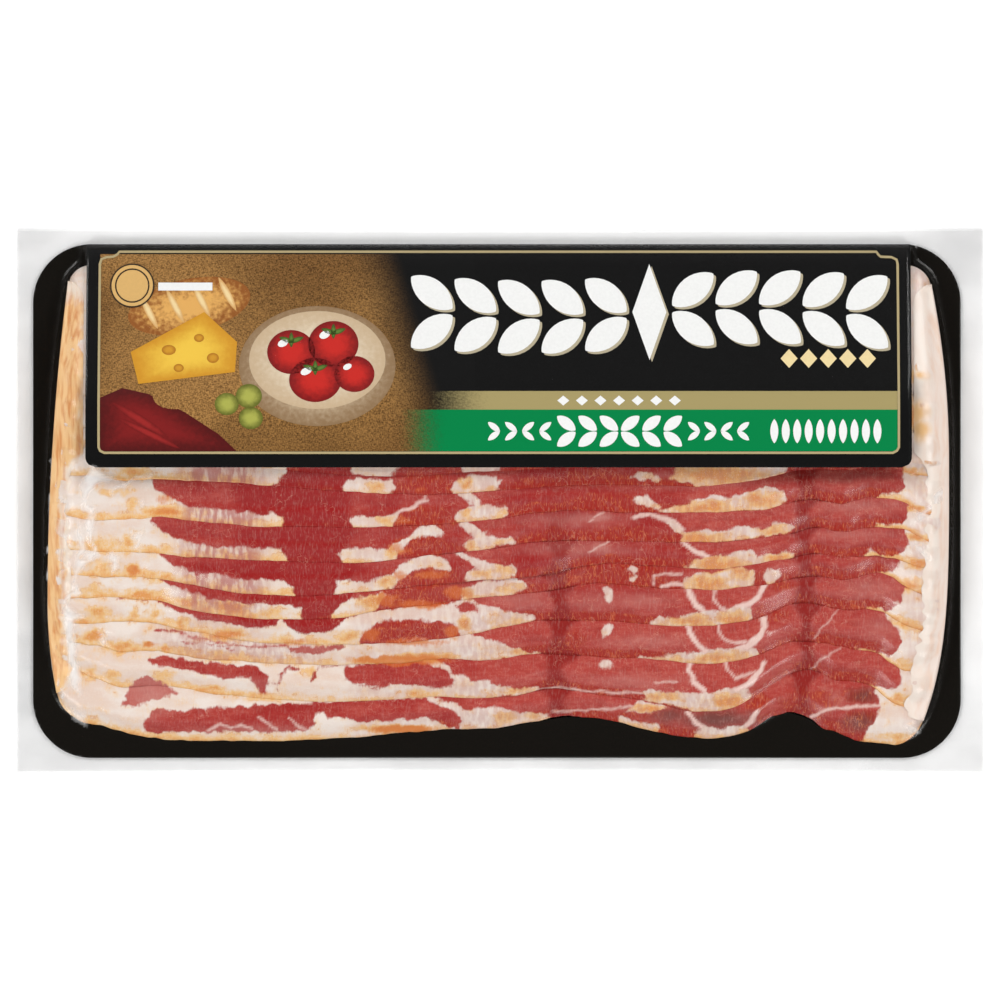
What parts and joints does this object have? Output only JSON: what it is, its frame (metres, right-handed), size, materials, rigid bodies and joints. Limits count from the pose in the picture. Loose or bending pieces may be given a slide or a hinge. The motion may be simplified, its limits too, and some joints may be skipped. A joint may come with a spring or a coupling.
{
  "type": "bacon pack",
  "caption": "Flat clear vacuum pouch of overlapping bacon rashers on a black board, whose printed flap folds down over the top of the stack.",
  "frame": {"origin": "centre of the pouch's rectangular outline, on the underside that the pack rests on", "axes": "+X along the rashers towards the right of the front, +Y up the front towards the folded edge of the board, +Z out of the front"},
  "size_m": [0.28, 0.1574, 0.0191],
  "materials": {
    "film": "clear glossy vacuum film",
    "board": "black coated paperboard",
    "bacon": "moist cured pork, red lean and white fat"
  },
  "bodies": {
    "root": {"film_pouch": "film", "folded_board": "board", "rasher_01": "bacon", "rasher_02": "bacon", "rasher_03": "bacon", "rasher_04": "bacon", "rasher_05": "bacon", "rasher_06": "bacon", "rasher_07": "bacon", "rasher_08": "bacon", "rasher_09": "bacon", "rasher_10": "bacon", "rasher_11": "bacon", "rasher_12": "bacon"}
  },
  "joints": []
}
